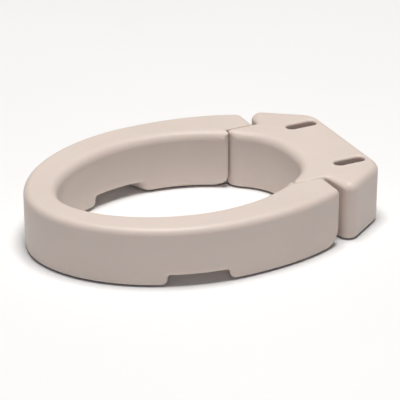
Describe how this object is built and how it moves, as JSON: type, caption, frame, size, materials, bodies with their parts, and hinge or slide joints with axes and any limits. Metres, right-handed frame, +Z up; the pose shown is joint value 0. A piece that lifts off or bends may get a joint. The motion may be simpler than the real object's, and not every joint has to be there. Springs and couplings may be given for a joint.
{
  "type": "raised toilet seat",
  "caption": "Hollow moulded riser for an elongated toilet bowl: a horseshoe ring hinged to a rear block that is bolted down through slots under the user's own seat.",
  "frame": {"origin": "under the middle of the whole length and width, on the plane that the rubber bumpers stand on", "axes": "+Z up, +Y towards the rear block (the back of the toilet), -Y towards the front of the bowl, +X towards the sitter's left"},
  "size_m": [0.3622, 0.4884, 0.0855],
  "materials": {
    "moulding": "satin cream polyethylene, lightly textured",
    "pin_steel": "turned stainless steel",
    "bumper_rubber": "matt black rubber"
  },
  "bodies": {
    "block": {"rear_block": "moulding", "hinge_pin_left": "pin_steel", "hinge_pin_right": "pin_steel", "bumper_rear_left": "bumper_rubber", "bumper_rear_right": "bumper_rubber"},
    "ring": {"front_ring": "moulding", "bumper_front_left": "bumper_rubber", "bumper_front_right": "bumper_rubber", "bumper_side_left": "bumper_rubber", "bumper_side_right": "bumper_rubber"}
  },
  "joints": [
    {"name": "ring_lift", "type": "hinge", "parent": "block", "child": "ring", "pos_m": [0, 0.1268, 0.073], "axis": [-1, 0, 0], "range_deg": [0, 105]}
  ]
}
